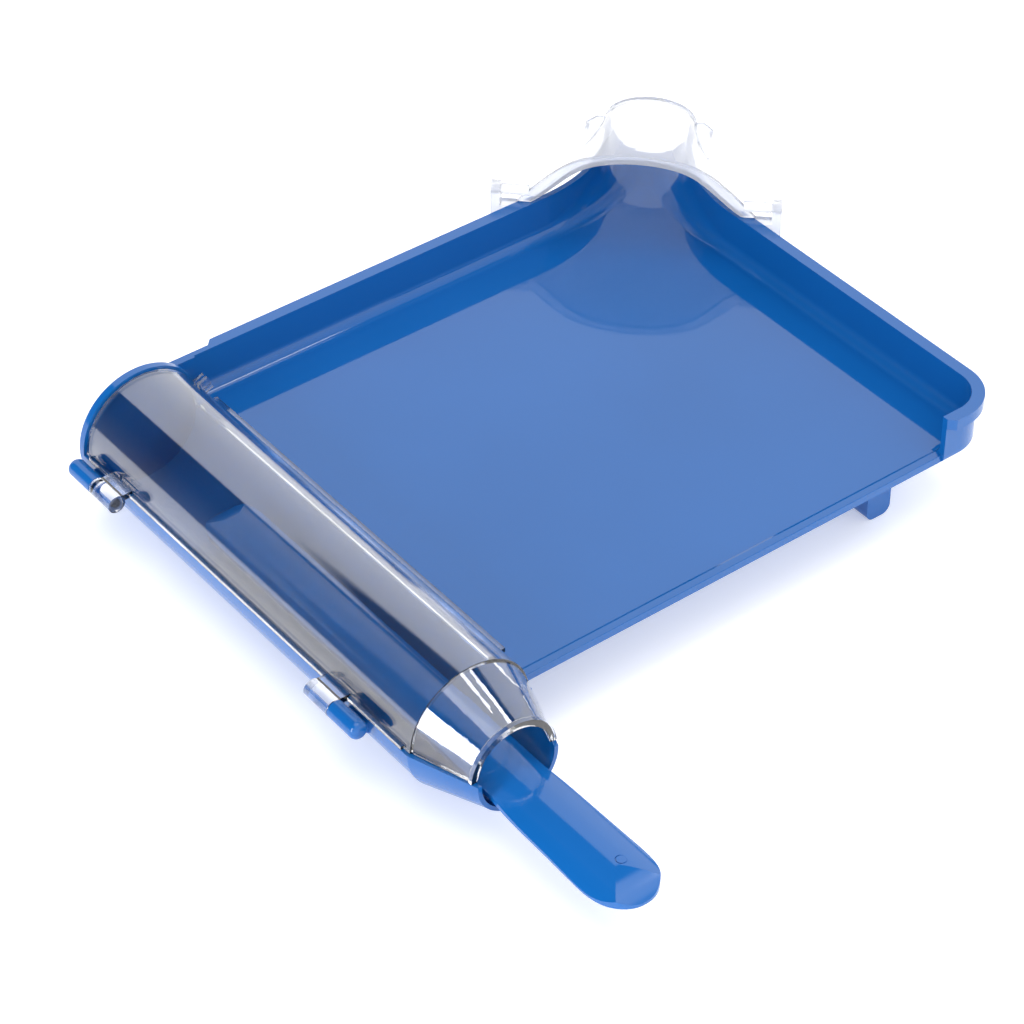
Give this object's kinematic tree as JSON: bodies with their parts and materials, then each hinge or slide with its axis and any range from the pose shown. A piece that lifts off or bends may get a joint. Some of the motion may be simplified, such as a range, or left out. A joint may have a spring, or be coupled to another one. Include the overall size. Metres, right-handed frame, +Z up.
{
  "type": "tablet counting tray",
  "caption": "Tablet counting tray with raised walls, a storage trough with hinged clear lid, a corner spout with hinged clear cover, and a loose spatula.",
  "frame": {"origin": "on the table plane, under the middle of the whole set as put away, spatula in the trough", "axes": "+X from the storage trough to the side wall, +Y from the open pouring edge to the far wall, +Z up"},
  "size_m": [0.2689, 0.2852, 0.0613],
  "materials": {
    "blue_plastic": "gloss",
    "clear_plastic": "clear gloss",
    "spatula_plastic": "gloss"
  },
  "bodies": {
    "tray": {"deck": "blue_plastic", "far_wall": "blue_plastic", "side_wall": "blue_plastic", "spout": "blue_plastic", "trough_shell": "blue_plastic", "trough_end": "blue_plastic", "trough_funnel": "blue_plastic", "feet": "blue_plastic", "trough_pads": "blue_plastic", "lid_sockets": "blue_plastic", "bracket_left": "clear_plastic", "bracket_right": "clear_plastic"},
    "lid": {"trough_lid": "clear_plastic"},
    "cover": {"spout_cover": "clear_plastic"},
    "spatula_body": {"spatula": "spatula_plastic"}
  },
  "joints": [
    {"name": "lid_hinge", "type": "hinge", "parent": "tray", "child": "lid", "pos_m": [-0.1313, 0, 0.0232], "axis": [0, -1, 0], "range_deg": [0, 175]},
    {"name": "cover_hinge", "type": "hinge", "parent": "tray", "child": "cover", "pos_m": [0.08383, 0.09203, 0.0442], "axis": [0.7071, -0.7071, 0], "range_deg": [0, 100]},
    {"name": "spatula_out", "type": "slide", "parent": "tray", "child": "spatula_body", "axis": [0, -1, 0], "range_m": [0, 0.16]}
  ]
}
